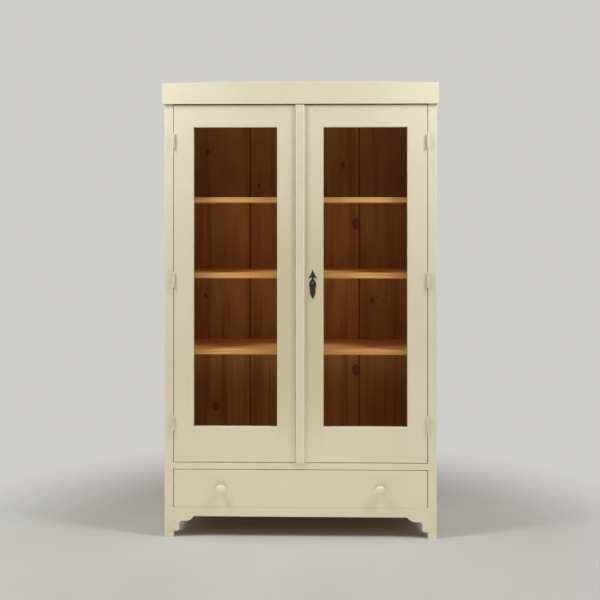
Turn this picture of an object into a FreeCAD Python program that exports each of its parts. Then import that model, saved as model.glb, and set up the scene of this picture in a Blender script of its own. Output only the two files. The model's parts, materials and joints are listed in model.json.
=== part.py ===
"""Glazed display cabinet in painted pine: two glass doors above one drawer, on bracket feet.

Millimetres, +Z up. The origin lies on the floor under the middle of the outline box.
The front faces -Y and +X runs to the right as one faces the cabinet.
"""
import FreeCAD
import Part
import math
import os
import Sketcher

SIZES = {
    # carcass
    "body_width": 1100.0,
    "body_depth": 400.0,
    "carcass_height": 1754.0,
    "post_width": 35.0,
    "post_depth": 45.0,
    "side_thickness": 20.0,
    "side_lap": 10.0,
    "board_thickness": 20.0,
    "frame_tenon_length": 22.0,
    "frame_tenon_thickness": 8.0,
    "frame_tenon_shoulder": 4.0,
    "arris": 2.0,
    # front rails and feet
    "apron_bottom": 84.0,
    "apron_height": 39.0,
    "apron_round": 6.0,
    "drawer_opening": 154.0,
    "mid_rail_height": 26.0,
    "mid_rail_depth": 40.0,
    "bracket_width": 82.0,
    "bracket_height": 57.0,
    "bracket_thickness": 18.0,
    "bracket_toe": 12.0,
    "bracket_heel_width": 10.0,
    "bracket_heel_height": 16.0,
    "bracket_rise": 11.0,
    "bracket_cove": 13.0,
    "bracket_shelf": 16.0,
    # cornice
    "cornice_end_height": 84.0,
    "cornice_rise": 8.0,
    "cornice_overhang": 8.0,
    "cornice_thickness": 28.0,
    "cornice_round": 5.0,
    "return_thickness": 22.0,
    # back
    "back_thickness": 12.0,
    "back_lap": 10.0,
    "back_seam_lap": 8.0,
    "back_seam_gap": 1.0,
    "back_seam_left": 232.0,
    "back_seam_middle": 10.0,
    "back_seam_right": 253.0,
    # shelves
    "shelf_thickness": 21.0,
    "shelf_setback": 50.0,
    "shelf_play": 1.0,
    "shelf_high": 1377.0,
    "shelf_middle": 1067.0,
    "shelf_low": 755.0,
    "cleat_size": 18.0,
    "stop_height": 24.0,
    "stop_depth": 17.0,
    # doors
    "door_thickness": 22.0,
    "door_gap": 2.6,
    "door_top_gap": 4.0,
    "door_stop_gap": 0.5,
    "meeting_offset": 19.0,
    "meeting_gap": 1.6,
    "outer_stile": 80.0,
    "inner_stile": 73.0,
    "head_rail": 90.0,
    "base_rail": 143.0,
    "door_tenon_length": 50.0,
    "door_tenon_thickness": 6.0,
    "door_tenon_shoulder": 20.0,
    "door_tenon_inset": 6.0,
    "rebate_lap": 8.0,
    "rebate_depth": 12.0,
    "glass_thickness": 4.0,
    "glass_play": 1.0,
    "strip_width": 36.0,
    "strip_thickness": 10.0,
    "strip_round": 5.0,
    # hinges
    "hinge_low_rise": 158.0,
    "hinge_middle_rise": 738.0,
    "hinge_high_drop": 145.0,
    "knuckle_height": 29.0,
    "knuckle_radius": 4.5,
    "knuckle_clearance": 0.5,
    "knuckle_seat_gap": 0.4,
    "pin_radius": 2.2,
    "pin_length": 21.0,
    "pin_clearance": 0.05,
    "leaf_thickness": 2.0,
    "leaf_reach": 19.0,
    "leaf_gap": 0.6,
    # lock
    "key_height": 1028.0,
    "key_offset": 50.0,
    "lock_width": 90.0,
    "lock_height": 70.0,
    "lock_depth": 16.0,
    "lock_wall": 3.0,
    "lock_edge": 2.0,
    "lock_bolt_height": 20.0,
    "lock_bolt_thickness": 8.0,
    "lock_bolt_length": 56.0,
    "lock_play": 0.3,
    "keyway_width": 3.6,
    "keyway_height": 14.0,
    # escutcheon
    "plate_thickness": 2.0,
    "plate_drop": 62.0,
    "arrow_tip": 119.0,
    "arrow_barb_height": 83.0,
    "arrow_barb": 17.5,
    "arrow_notch_height": 87.0,
    "arrow_neck": 3.5,
    "oval_top": 80.0,
    "oval_bottom": 43.0,
    "shield_half": 11.0,
    "oval_bulge": 32.0,
    "arrow_hollow": 110.0,
    "shield_bulge": 60.0,
    "plate_slot_width": 5.0,
    "plate_slot_height": 20.0,
    # bolts of the left door
    "bolt_radius": 4.0,
    "bolt_play": 0.4,
    "bolt_length": 86.0,
    "bolt_tip_gap": 4.0,
    "bolt_socket_size": 12.0,
    "bolt_socket_depth": 16.0,
    "bolt_plate_width": 30.0,
    "bolt_plate_height": 80.0,
    "bolt_loop_width": 16.0,
    "bolt_loop_height": 10.0,
    "bolt_loop_depth": 13.0,
    "bolt_grip_width": 9.0,
    "bolt_grip_height": 6.0,
    "bolt_grip_reach": 14.0,
    # drawer
    "drawer_front_thickness": 20.0,
    "drawer_bottom_gap": 0.6,
    "drawer_top_gap": 3.0,
    "drawer_side_thickness": 14.0,
    "drawer_side_play": 3.0,
    "drawer_back_gap": 18.0,
    "drawer_side_height": 138.0,
    "drawer_front_lap": 8.0,
    "tail_width": 34.0,
    "tail_flare": 3.0,
    "drawer_seat": 3.0,
    "drawer_floor_height": 12.0,
    "drawer_floor_thickness": 8.0,
    "drawer_groove": 6.0,
    "drawer_back_drop": 14.0,
    "runner_width": 45.0,
    "runner_height": 26.0,
    "drawer_stop_width": 40.0,
    "drawer_stop_place": 200.0,
    "drawer_stop_height": 8.0,
    # knobs
    "knob_inset": 192.0,
    "knob_height": 197.0,
    "knob_radius": 22.0,
    "knob_reach": 34.0,
    "knob_under": 13.0,
    "knob_rim": 20.0,
    "knob_shoulder_radius": 16.0,
    "knob_shoulder": 29.0,
    "knob_face_radius": 6.5,
    "knob_neck_radius": 11.0,
    "knob_tenon_radius": 7.0,
}

SIDES = {"left": -1, "right": 1}
TAILS = 3

doc = FreeCAD.newDocument("DisplayCabinet")
nodes = []


class Dim:
    """A length that carries both its present value and the sheet expression behind it."""

    def __init__(self, text, value):
        self.text = text
        self.value = value

    @staticmethod
    def of(number):
        return number if isinstance(number, Dim) else Dim(f"{number:g}", float(number))

    def join(self, sign, other, value):
        return Dim(f"({self.text} {sign} {other.text})", value)

    def __add__(self, other):
        other = Dim.of(other)
        return self.join("+", other, self.value + other.value)

    def __sub__(self, other):
        other = Dim.of(other)
        return self.join("-", other, self.value - other.value)

    def __mul__(self, other):
        other = Dim.of(other)
        return self.join("*", other, self.value * other.value)

    def __truediv__(self, other):
        other = Dim.of(other)
        return self.join("/", other, self.value / other.value)

    def __radd__(self, other):
        return Dim.of(other) + self

    def __rsub__(self, other):
        return Dim.of(other) - self

    def __rmul__(self, other):
        return self * other

    def __neg__(self):
        return Dim.of(0) - self


def larger(first, second):
    return Dim(f"max({first.text}; {second.text})", max(first.value, second.value))


class Sizes:
    """Attribute access to the sheet's named sizes."""

    def __init__(self, sheet):
        for row, (name, value) in enumerate(SIZES.items(), start=1):
            sheet.set(f"A{row}", name)
            sheet.set(f"B{row}", f"{value:g}")
            sheet.setAlias(f"B{row}", name)
            setattr(self, name, Dim(f"Sizes.{name}", value))


size = Sizes(doc.addObject("Spreadsheet::Sheet", "Sizes"))
doc.recompute()

# Main planes of the cabinet
half = size.body_width / 2
front = (size.knob_reach - size.body_depth) / 2
back = front + size.body_depth
inner = half - size.post_width
back_face = back - size.back_thickness
rear_rail_y = back_face - size.board_thickness
apron_top = size.apron_bottom + size.apron_height
rail_bottom = apron_top + size.drawer_opening
rail_top = rail_bottom + size.mid_rail_height
top = size.carcass_height
top_board_top = top + size.board_thickness
crest_back = front - size.cornice_overhang + size.cornice_thickness

# Main planes of the doors
door_back = front + size.door_thickness
door_bottom = rail_top + size.door_gap
door_top = top - size.door_top_gap
door_outer = inner - size.door_gap
glass_outer = door_outer - size.outer_stile
glass_bottom = door_bottom + size.base_rail
glass_top = door_top - size.head_rail
rebate_front = door_back - size.rebate_depth
meeting_edge = {-1: size.meeting_offset + size.meeting_gap, 1: -size.meeting_offset}
glass_inner = meeting_edge[-1] + size.inner_stile
axis_x = inner - size.door_gap / 2
axis_y = front - size.knuckle_radius - size.knuckle_clearance
hinge_heights = {
    "low": door_bottom + size.hinge_low_rise,
    "middle": door_bottom + size.hinge_middle_rise,
    "high": door_top - size.hinge_high_drop,
}

# Planes of the bolts on the left door
bolt_x = -(glass_inner + meeting_edge[-1]) / 2
bolt_y = door_back + size.leaf_thickness + size.bolt_loop_depth / 2
socket_half = size.bolt_socket_size / 2
socket_x = (bolt_x - socket_half, bolt_x + socket_half)
socket_y = (bolt_y - socket_half, bolt_y + socket_half)
stop_bottom = top - size.stop_height

# Planes of the drawer
drawer_front_bottom = apron_top + size.drawer_bottom_gap
drawer_front_top = rail_bottom - size.drawer_top_gap
drawer_edge = inner - size.door_gap
knob_place = drawer_edge - size.knob_inset
drawer_side_outer = inner - size.drawer_side_play
drawer_side_inner = drawer_side_outer - size.drawer_side_thickness
drawer_front_back = front + size.drawer_front_thickness
drawer_side_bottom = apron_top + size.drawer_seat
drawer_floor = drawer_side_bottom + size.drawer_floor_height
drawer_floor_top = drawer_floor + size.drawer_floor_thickness
drawer_side_back = rear_rail_y - size.drawer_back_gap


def keep(piece, label):
    """Name a finished piece, which is one node of the assembly."""
    piece.Label = label
    nodes.append(piece)
    return piece


def span(side, near, far):
    """X range on one side of the middle, given by two distances from it."""
    return (near, far) if side > 0 else (-far, -near)


def box(name, x, y, z):
    """Rectangular block between two planes on each axis."""
    block = doc.addObject("Part::Box", name)
    for prop, axis, (low, high) in zip(("Length", "Width", "Height"), "xyz", (x, y, z)):
        block.setExpression(prop, (high - low).text)
        block.setExpression(f"Placement.Base.{axis}", Dim.of(low).text)
    return block


def rod(name, radius, start, length, turn=None):
    """Round bar from a start point, upright unless a turn is given."""
    bar = doc.addObject("Part::Cylinder", name)
    bar.setExpression("Radius", radius.text)
    bar.setExpression("Height", length.text)
    if turn:
        bar.Placement = FreeCAD.Placement(FreeCAD.Vector(), turn)
    for axis, place in zip("xyz", start):
        bar.setExpression(f"Placement.Base.{axis}", Dim.of(place).text)
    return bar


def fuse(name, *pieces):
    whole = doc.addObject("Part::MultiFuse", name)
    whole.Shapes = list(pieces)
    return whole


def cut(name, base, *tools):
    """Base less every tool."""
    result = doc.addObject("Part::Cut", name)
    result.Base = base
    result.Tool = tools[0] if len(tools) == 1 else fuse(f"{name}_tools", *tools)
    return result


def group(name, pieces):
    """Separate solids of one kind that share a node."""
    bundle = doc.addObject("Part::Compound", name)
    bundle.Links = list(pieces)
    return bundle


def new_body(name, x, y, z):
    """Empty body whose own origin stands at the given point."""
    body = doc.addObject("PartDesign::Body", name)
    for axis, place in zip("xyz", (x, y, z)):
        body.setExpression(f"Placement.Base.{axis}", Dim.of(place).text)
    return body


def arc_between(start, end, radius, side):
    """Shallow arc, counter-clockwise, and whether it runs from start to end.

    Side +1 bulges to the left of the way from start to end, -1 to the right.
    """
    chord = end - start
    rise = math.sqrt(max(radius ** 2 - (chord.Length / 2) ** 2, 0.0))
    left = FreeCAD.Vector(-chord.y, chord.x, 0).normalize()
    centre = (start + end) / 2 - left * rise * side
    first, last = (start, end) if side < 0 else (end, start)
    angles = [math.atan2(point.y - centre.y, point.x - centre.x) for point in (first, last)]
    if angles[1] < angles[0]:
        angles[1] += 2 * math.pi
    circle = Part.Circle(centre, FreeCAD.Vector(0, 0, 1), radius)
    return Part.ArcOfCircle(circle, *angles), side < 0


def outline(body, plane, name, corners, arcs=None):
    """Closed sketch through the corners, every corner and radius bound to the sheet.

    Arcs maps a corner's number to the radius and side of the arc that leaves it.
    """
    arcs = arcs or {}
    sketch = body.newObject("Sketcher::SketchObject", name)
    support = [part for part in body.Origin.OriginFeatures if part.Role == plane]
    sketch.AttachmentSupport = [(support[0], "")]
    sketch.MapMode = "FlatFace"
    corners = [(Dim.of(u), Dim.of(v)) for u, v in corners]
    points = [FreeCAD.Vector(u.value, v.value, 0) for u, v in corners]
    ends = []
    for number, start in enumerate(points):
        end = points[(number + 1) % len(points)]
        forward = True
        curve = Part.LineSegment(start, end)
        if number in arcs:
            curve, forward = arc_between(start, end, arcs[number][0].value, arcs[number][1])
        ends.append((1, 2) if forward else (2, 1))
        sketch.addGeometry(curve, False)
    for number, (u, v) in enumerate(corners):
        after = (number + 1) % len(corners)
        sketch.addConstraint(
            Sketcher.Constraint("Coincident", number, ends[number][1], after, ends[after][0])
        )
        for kind, place in (("DistanceX", u), ("DistanceY", v)):
            bound = sketch.addConstraint(
                Sketcher.Constraint(kind, number, ends[number][0], place.value)
            )
            sketch.setExpression(f"Constraints[{bound}]", place.text)
    for number, (radius, _) in arcs.items():
        bound = sketch.addConstraint(Sketcher.Constraint("Radius", number, radius.value))
        sketch.setExpression(f"Constraints[{bound}]", radius.text)
    return sketch


def pad(body, name, sketch, thickness):
    feature = body.newObject("PartDesign::Pad", name)
    feature.Profile = sketch
    feature.setExpression("Length", thickness.text)
    return feature


def pocket_through(body, name, sketch):
    """Cut the sketch through the whole body, both ways."""
    feature = body.newObject("PartDesign::Pocket", name)
    feature.Profile = sketch
    feature.Type = "ThroughAll"
    feature.Midplane = True
    return feature


def round_edges(body, name, base, radius, wanted):
    """Round the edges of the base that the test picks out."""
    doc.recompute()
    feature = body.newObject("PartDesign::Fillet", name)
    chosen = [f"Edge{n}" for n, edge in enumerate(base.Shape.Edges, start=1) if wanted(edge)]
    feature.Base = (base, chosen)
    feature.setExpression("Radius", radius.text)
    return feature


def near(value, target):
    return abs(value - target) < 0.01


def eased_board(name, x, y, z, edges):
    """Block with chosen edges of its front face softened.

    Edges names them by side: left, right, bottom, top.
    """
    body = new_body(name, x[0], y[0], z[0])
    width, depth, height = (Dim.of(high - low) for low, high in (x, y, z))
    corners = [(0, 0), (width, 0), (width, depth), (0, depth)]
    block = pad(body, f"{name}_pad", outline(body, "XY_Plane", f"{name}_section", corners), height)

    def chosen(edge):
        room = edge.BoundBox
        at_side = {
            "left": near(room.XMax, 0.0),
            "right": near(room.XMin, width.value),
            "bottom": near(room.ZMax, 0.0),
            "top": near(room.ZMin, height.value),
        }
        return near(room.YMax, 0.0) and any(at_side[word] for word in edges)

    round_edges(body, f"{name}_arris", block, size.arris, chosen)
    return body


def tangent_arc(run, rise):
    """Radius of an arc that leaves along the run and has climbed by the rise at its end."""
    return (run * run + rise * rise) / (2 * rise)


def hinge_span(height, upper):
    """Z range of one half of a lift-off hinge."""
    seat = size.knuckle_seat_gap / 2
    if upper:
        return height + seat, height + size.knuckle_height
    return height - size.knuckle_height, height - seat


def leaf_x(side, on_door):
    """X range of a hinge leaf, let into the door edge or into the post."""
    play = size.leaf_gap / 2
    if on_door:
        return span(side, axis_x - play - size.leaf_thickness, axis_x - play)
    return span(side, axis_x + play, axis_x + play + size.leaf_thickness)


def leaf_seats(name, side, on_door):
    """Shallow recesses for the three leaves of one post or door."""
    seats = []
    for place, height in hinge_heights.items():
        leaf_y = (front, front + size.leaf_reach)
        seats.append(
            box(f"{name}_seat_{place}", leaf_x(side, on_door), leaf_y, hinge_span(height, on_door))
        )
    return seats


def frame_tenons(name, y, z):
    """Tenons that enter the two posts, or the mortises for them."""
    shoulder = size.frame_tenon_shoulder
    tenon_y = (y, y + size.frame_tenon_thickness)
    tenon_z = (z[0] + shoulder, z[1] - shoulder)
    return {
        side: box(
            f"{name}_{word}", span(side, inner, inner + size.frame_tenon_length), tenon_y, tenon_z
        )
        for word, side in SIDES.items()
    }


apron_z = (size.apron_bottom, apron_top)
rail_z = (rail_bottom, rail_top)
apron_tenon_y = front + size.board_thickness - size.frame_tenon_thickness
rail_tenon_y = front + size.mid_rail_depth / 2


def posts():
    """Four corner posts, cut for side boards, rails, hinge leaves and back boards."""
    panel_z = (size.apron_bottom, top)
    for word, side in SIDES.items():
        post_x = span(side, inner, half)
        panel_x = span(side, inner, inner + size.side_thickness)
        name = f"post_front_{word}"
        front_end = front + size.post_depth
        keep(
            cut(
                name,
                eased_board(f"{name}_bar", post_x, (front, front_end), (Dim.of(0), top), [word]),
                box(f"{name}_rebate", panel_x, (front_end - size.side_lap, front_end), panel_z),
                frame_tenons(f"{name}_apron_mortise", apron_tenon_y, apron_z)[side],
                frame_tenons(f"{name}_rail_mortise", rail_tenon_y, rail_z)[side],
                *leaf_seats(name, side, False),
            ),
            name,
        )
        name = f"post_rear_{word}"
        rear_start = back - size.post_depth
        board_x = span(side, inner, inner + size.back_lap)
        keep(
            cut(
                name,
                box(f"{name}_bar", post_x, (rear_start, back), (Dim.of(0), top)),
                box(f"{name}_rebate", panel_x, (rear_start, rear_start + size.side_lap), panel_z),
                box(f"{name}_back_rebate", board_x, (back_face, back), panel_z),
                frame_tenons(f"{name}_mortise", rear_rail_y, apron_z)[side],
            ),
            name,
        )
        panel_y = (front_end - size.side_lap, rear_start + size.side_lap)
        keep(box(f"side_board_{word}", panel_x, panel_y, panel_z), f"side_board_{word}")


def rails():
    """Mid rail, apron with a lower edge rounded between the feet, rear rail and floor board."""
    between = (-inner, inner)
    rail = fuse(
        "mid_rail_whole",
        box("mid_rail_bar", between, (front, front + size.mid_rail_depth), rail_z),
        *frame_tenons("mid_rail_tenon", rail_tenon_y, rail_z).values(),
    )
    socket_z = (rail_top - size.bolt_socket_depth, rail_top)
    socket = box("mid_rail_socket", socket_x, socket_y, socket_z)
    keep(cut("mid_rail", rail, socket), "mid_rail")

    body = new_body("apron_board", 0, front + size.board_thickness, size.apron_bottom)
    free = inner - size.bracket_width
    corners = [(-free, 0), (free, 0), (free, size.apron_height), (-free, size.apron_height)]
    board = pad(body, "ApronPad", outline(body, "XZ_Plane", "ApronFace", corners), size.board_thickness)
    round_edges(
        body,
        "ApronRound",
        board,
        size.apron_round,
        lambda edge: near(edge.BoundBox.ZMax, 0.0)
        and near(edge.BoundBox.YMax, -size.board_thickness.value)
        and edge.BoundBox.XLength > size.apron_round.value,
    )
    apron_y = (front, front + size.board_thickness)
    ends = [
        box(f"apron_end_{word}", span(side, free, inner), apron_y, apron_z) for word, side in SIDES.items()
    ]
    keep(
        fuse("apron", body, *ends, *frame_tenons("apron_tenon", apron_tenon_y, apron_z).values()),
        "apron",
    )

    rear = box("rear_rail_bar", between, (rear_rail_y, back_face), apron_z)
    keep(
        fuse("rear_rail", rear, *frame_tenons("rear_rail_tenon", rear_rail_y, apron_z).values()),
        "rear_rail",
    )
    floor_z = (rail_top - size.board_thickness, rail_top)
    keep(box("floor_board", between, (front + size.mid_rail_depth, back_face), floor_z), "floor_board")


def foot_brackets():
    """Scrolled brackets under the apron: a lobe, a cove and a heel against the post."""
    heel_x = size.bracket_toe + size.bracket_heel_width
    cove_z = size.bracket_heel_height + size.bracket_rise
    shelf_z = cove_z + size.bracket_cove
    cove_x = heel_x + size.bracket_cove
    shelf_x = cove_x + size.bracket_shelf
    lobe_run = size.bracket_width - shelf_x
    lobe_rise = size.bracket_height - shelf_z
    foot_z = size.apron_bottom - size.bracket_height
    for word, side in SIDES.items():
        name = f"foot_bracket_{word}"
        body = new_body(name, inner * side, front + size.bracket_thickness, foot_z)
        profile = [
            (0, 0),
            (size.bracket_toe, 0),
            (heel_x, size.bracket_heel_height),
            (heel_x, cove_z),
            (cove_x, shelf_z),
            (shelf_x, shelf_z),
            (size.bracket_width, size.bracket_height),
            (0, size.bracket_height),
        ]
        arcs = {
            1: (tangent_arc(size.bracket_heel_width, size.bracket_heel_height), side),
            3: (size.bracket_cove, -side),
            5: (tangent_arc(lobe_run, lobe_rise), side),
        }
        corners = [(-side * u, v) for u, v in profile]
        sketch = outline(body, "XZ_Plane", f"{name}_scroll", corners, arcs)
        pad(body, f"{name}_pad", sketch, size.bracket_thickness)
        keep(body, name)


def cornice():
    """Arched crest board, two straight returns behind it and the top board between them."""
    reach = half + size.cornice_overhang
    body = new_body("cornice_front", 0, crest_back, top)
    corners = [
        (-reach, 0),
        (reach, 0),
        (reach, size.cornice_end_height),
        (-reach, size.cornice_end_height),
    ]
    arch = tangent_arc(reach, size.cornice_rise)
    sketch = outline(body, "XZ_Plane", "CrestFace", corners, {2: (arch, -1)})
    crest = pad(body, "CrestPad", sketch, size.cornice_thickness)
    round_edges(
        body,
        "CrestRound",
        crest,
        size.cornice_round,
        lambda edge: near(edge.BoundBox.ZMin, size.cornice_end_height.value)
        and near(edge.BoundBox.YLength, size.cornice_thickness.value),
    )
    keep(body, "cornice_front")
    return_z = (top, top + size.cornice_end_height)
    for word, side in SIDES.items():
        return_x = span(side, reach - size.return_thickness, reach)
        name = f"cornice_return_{word}"
        keep(box(name, return_x, (crest_back, back), return_z), name)
    top_x = (size.return_thickness - reach, reach - size.return_thickness)
    keep(box("top_board", top_x, (crest_back, back_face), (top, top_board_top)), "top_board")
    stop_y = (door_back + size.door_stop_gap, door_back + size.door_stop_gap + size.stop_depth)
    stop = box("door_stop_bar", (-inner, inner), stop_y, (stop_bottom, top))
    socket_z = (stop_bottom, stop_bottom + size.bolt_socket_depth)
    socket = box("door_stop_socket", socket_x, socket_y, socket_z)
    keep(cut("door_stop", stop, socket), "door_stop")


def back_boards():
    """Upright boards with half-lapped edges, nailed into the rear rebate."""
    edge = inner + size.back_lap
    middle = back - size.back_thickness / 2
    seams = [-size.back_seam_left, size.back_seam_middle, size.back_seam_right]
    lows = [-edge] + seams
    highs = seams + [edge]
    board_z = (size.apron_bottom, top_board_top)
    for number, (low, high) in enumerate(zip(lows, highs), start=1):
        name = f"back_board_{number}"
        start = low if number == 1 else low + size.back_seam_gap
        layers = [box(f"{name}_face", (start, high), (back_face, middle), board_z)]
        rear_end = high if number == len(lows) else high - size.back_seam_lap
        rear_start = start if number == 1 else low - size.back_seam_lap + size.back_seam_gap
        layers.append(box(f"{name}_rear", (rear_start, rear_end), (middle, back), board_z))
        keep(fuse(name, *layers), name)


def shelves():
    """Three loose shelves and the floor board, each on a pair of side cleats."""
    shelf_y = (front + size.shelf_setback, back_face)
    shelf_x = (size.shelf_play - inner, inner - size.shelf_play)
    tops = {"high": size.shelf_high, "middle": size.shelf_middle, "low": size.shelf_low}
    for word, height in tops.items():
        name = f"shelf_{word}"
        shelf_z = (height - size.shelf_thickness, height)
        keep(eased_board(name, shelf_x, shelf_y, shelf_z, ["top"]), name)
    seats = {word: height - size.shelf_thickness for word, height in tops.items()}
    seats["floor"] = rail_top - size.board_thickness
    cleat_y = (front + size.shelf_setback + size.cleat_size, back - size.post_depth)
    for word, side in SIDES.items():
        name = f"shelf_cleats_{word}"
        cleat_x = span(side, inner - size.cleat_size, inner)
        cleats = [
            box(f"{name}_{seat}", cleat_x, cleat_y, (height - size.cleat_size, height))
            for seat, height in seats.items()
        ]
        keep(group(name, cleats), name)


def hinge_half(name, side, height, on_door):
    """One half of a lift-off hinge: the lower half holds the pin, the upper half turns on it."""
    low, high = hinge_span(height, on_door)
    axis = (side * axis_x, axis_y)
    knuckle = rod(f"{name}_knuckle", size.knuckle_radius, (*axis, low), high - low)
    leaf = box(f"{name}_leaf", leaf_x(side, on_door), (axis_y, front + size.leaf_reach), (low, high))
    shell = fuse(f"{name}_shell", knuckle, leaf)
    if on_door:
        bore_radius = size.pin_radius + size.pin_clearance
        bore_depth = size.pin_length + size.knuckle_seat_gap
        return cut(f"{name}_half", shell, rod(f"{name}_bore", bore_radius, (*axis, low), bore_depth))
    pin = rod(f"{name}_pin", size.pin_radius, (*axis, low), high - low + size.pin_length)
    return fuse(f"{name}_half", shell, pin)


def hinges():
    for word, side in SIDES.items():
        for kind, on_door in (("post", False), ("door", True)):
            name = f"hinges_{word}_{kind}"
            halves = [
                hinge_half(f"{name}_{place}", side, height, on_door)
                for place, height in hinge_heights.items()
            ]
            keep(group(name, halves), name)


def door(word, side):
    """Mortised frame with a rebate at the back that holds the pane and its beads."""
    door_y = (front, door_back)
    door_z = (door_bottom, door_top)
    rebate_y = (rebate_front, door_back)
    rebate_z = (glass_bottom - size.rebate_lap, glass_top + size.rebate_lap)
    tenon_y = (rebate_front - size.door_tenon_thickness, rebate_front)
    rails_z = {"top": (glass_top, door_top), "bottom": (door_bottom, glass_bottom)}
    tenon_start = size.rebate_lap + size.door_tenon_inset
    tenons_z = {
        "top": (glass_top + tenon_start, door_top - size.door_tenon_shoulder),
        "bottom": (door_bottom + size.door_tenon_shoulder, glass_bottom - tenon_start),
    }
    tenons_x = {
        "inner": span(side, glass_inner - size.door_tenon_length, glass_inner),
        "outer": span(side, glass_outer, glass_outer + size.door_tenon_length),
    }
    stiles_x = {
        "inner": span(side, meeting_edge[side], glass_inner),
        "outer": span(side, glass_outer, door_outer),
    }
    rebates_x = {
        "inner": span(side, glass_inner - size.rebate_lap, glass_inner),
        "outer": span(side, glass_outer, glass_outer + size.rebate_lap),
    }
    for place in ("inner", "outer"):
        name = f"door_{word}_stile_{place}"
        tools = [
            box(f"{name}_mortise_{rail}", tenons_x[place], tenon_y, z) for rail, z in tenons_z.items()
        ]
        tools.append(box(f"{name}_rebate", rebates_x[place], rebate_y, rebate_z))
        eased = ["bottom", "top"]
        if place == "outer":
            tools += leaf_seats(name, side, True)
            eased = [word]
        elif side > 0:
            tools.append(keyway(name))
        keep(cut(name, eased_board(f"{name}_bar", stiles_x[place], door_y, door_z, eased), *tools), name)
    glazed_x = span(side, glass_inner, glass_outer)
    cross_rebate = {
        "top": (glass_top, glass_top + size.rebate_lap),
        "bottom": (glass_bottom - size.rebate_lap, glass_bottom),
    }
    for rail, z in rails_z.items():
        name = f"door_{word}_rail_{rail}"
        bar = fuse(
            f"{name}_bar",
            eased_board(f"{name}_board", glazed_x, door_y, z, ["bottom", "top"]),
            *[box(f"{name}_tenon_{end}", x, tenon_y, tenons_z[rail]) for end, x in tenons_x.items()],
        )
        keep(cut(name, bar, box(f"{name}_rebate", glazed_x, rebate_y, cross_rebate[rail])), name)
    pane_reach = size.rebate_lap - size.glass_play
    pane_y = (rebate_front, rebate_front + size.glass_thickness)
    pane_z = (glass_bottom - pane_reach, glass_top + pane_reach)
    pane_x = span(side, glass_inner - pane_reach, glass_outer + pane_reach)
    keep(box(f"door_{word}_glass", pane_x, pane_y, pane_z), f"door_{word}_glass")
    name = f"door_{word}_beads"
    bead_y = (pane_y[1], door_back)
    beads = [box(f"{name}_{place}", x, bead_y, rebate_z) for place, x in rebates_x.items()]
    beads += [box(f"{name}_{rail}", glazed_x, bead_y, z) for rail, z in cross_rebate.items()]
    keep(group(name, beads), name)


def keyway(name):
    """Narrow key slot through the right door's inner stile."""
    half_slot = size.keyway_width / 2
    slot_x = (size.key_offset - half_slot, size.key_offset + half_slot)
    slot_z = (size.key_height - size.keyway_height, size.key_height + half_slot)
    return box(f"{name}_keyway", slot_x, (front, door_back), slot_z)


def meeting_strip():
    """Rounded cover strip on the meeting edge of the right door."""
    body = new_body("meeting_strip", -size.meeting_offset, front, door_bottom)
    width = size.strip_width
    proud = -size.strip_thickness
    corners = [(0, 0), (0, proud), (width, proud), (width, 0)]
    strip = pad(body, "StripPad", outline(body, "XY_Plane", "StripSection", corners), door_top - door_bottom)
    round_edges(
        body,
        "StripRound",
        strip,
        size.strip_round,
        lambda edge: near(edge.BoundBox.YMax, proud.value) and edge.BoundBox.ZLength > size.strip_round.value,
    )
    keep(body, "meeting_strip")


def escutcheon():
    """Iron key plate: barbed arrowhead, oval round the keyhole and a pointed shield."""
    body = new_body("escutcheon", size.key_offset, front, size.key_height - size.plate_drop)
    right = [
        (size.shield_half, size.oval_bottom),
        (size.arrow_neck, size.oval_top),
        (size.arrow_neck, size.arrow_notch_height),
        (size.arrow_barb, size.arrow_barb_height),
    ]
    left = [(-u, v) for u, v in reversed(right)]
    corners = [(0, 0)] + right + [(0, size.arrow_tip)] + left
    arcs = {
        0: (size.shield_bulge, -1),
        1: (size.oval_bulge, -1),
        4: (size.arrow_hollow, 1),
        5: (size.arrow_hollow, 1),
        8: (size.oval_bulge, -1),
        9: (size.shield_bulge, -1),
    }
    pad(body, "PlatePad", outline(body, "XZ_Plane", "PlateFace", corners, arcs), size.plate_thickness)
    slot_top = size.plate_drop + size.plate_slot_height / 2
    slot_bottom = size.plate_drop - size.plate_slot_height / 2
    slot_round = tangent_arc(size.plate_slot_height / 2, size.plate_slot_width / 2)
    almond = outline(
        body,
        "XZ_Plane",
        "SlotFace",
        [(0, slot_bottom), (0, slot_top)],
        {0: (slot_round, -1), 1: (slot_round, -1)},
    )
    pocket_through(body, "KeySlot", almond)
    keep(body, "escutcheon")


def lock():
    """Surface lock on the back of the right door with a bolt that slides behind the left door."""
    lock_x = size.lock_edge - size.meeting_offset
    bolt_half = size.lock_bolt_height / 2
    lock_z = (size.key_height - size.lock_height / 2, size.key_height + size.lock_height / 2)
    play = size.lock_play
    bolt_y = (
        door_back + size.lock_wall + play,
        door_back + size.lock_wall + play + size.lock_bolt_thickness,
    )
    bolt_z = (size.key_height - bolt_half, size.key_height + bolt_half)
    cavity = box(
        "lock_cavity",
        (lock_x, lock_x + size.lock_bolt_length + play),
        (bolt_y[0] - play, bolt_y[1] + play),
        (bolt_z[0] - play, bolt_z[1] + play),
    )
    case = box(
        "lock_shell", (lock_x, lock_x + size.lock_width), (door_back, door_back + size.lock_depth), lock_z
    )
    keep(cut("lock_case", case, cavity), "lock_case")
    keep(box("lock_bolt", (lock_x, lock_x + size.lock_bolt_length), bolt_y, bolt_z), "lock_bolt")


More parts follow.
